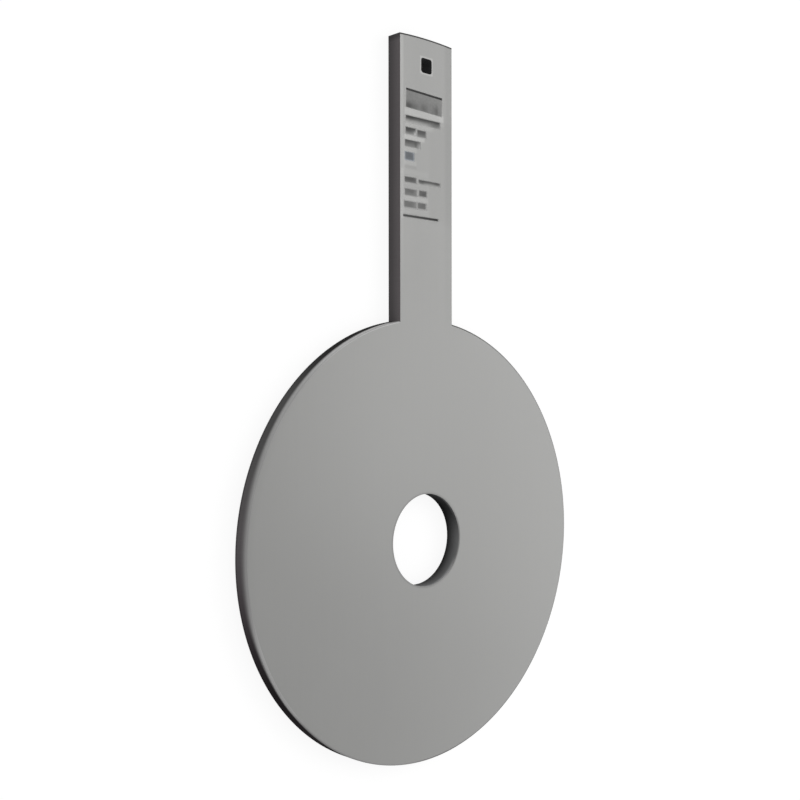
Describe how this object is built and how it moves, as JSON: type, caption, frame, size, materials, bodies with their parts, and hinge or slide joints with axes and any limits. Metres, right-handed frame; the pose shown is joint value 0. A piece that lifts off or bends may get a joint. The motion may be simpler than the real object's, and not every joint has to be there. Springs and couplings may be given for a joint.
{
  "type": "orifice plate",
  "caption": "Flat round orifice plate with a straight central bore and a paddle handle with a square hanging hole, cut as one piece; it lies flat on its back face.",
  "frame": {"origin": "centre of the bore in the back face, the face that the plate lies on", "axes": "+Z along the bore, out of the marked front face; +Y along the handle, towards its hanging hole"},
  "size_m": [0.1572, 0.2572, 0.006],
  "materials": {
    "ground_steel": "dull fine-ground stainless steel, with darker as-cut edges"
  },
  "bodies": {
    "root": {"orifice_plate": "ground_steel"}
  },
  "joints": []
}
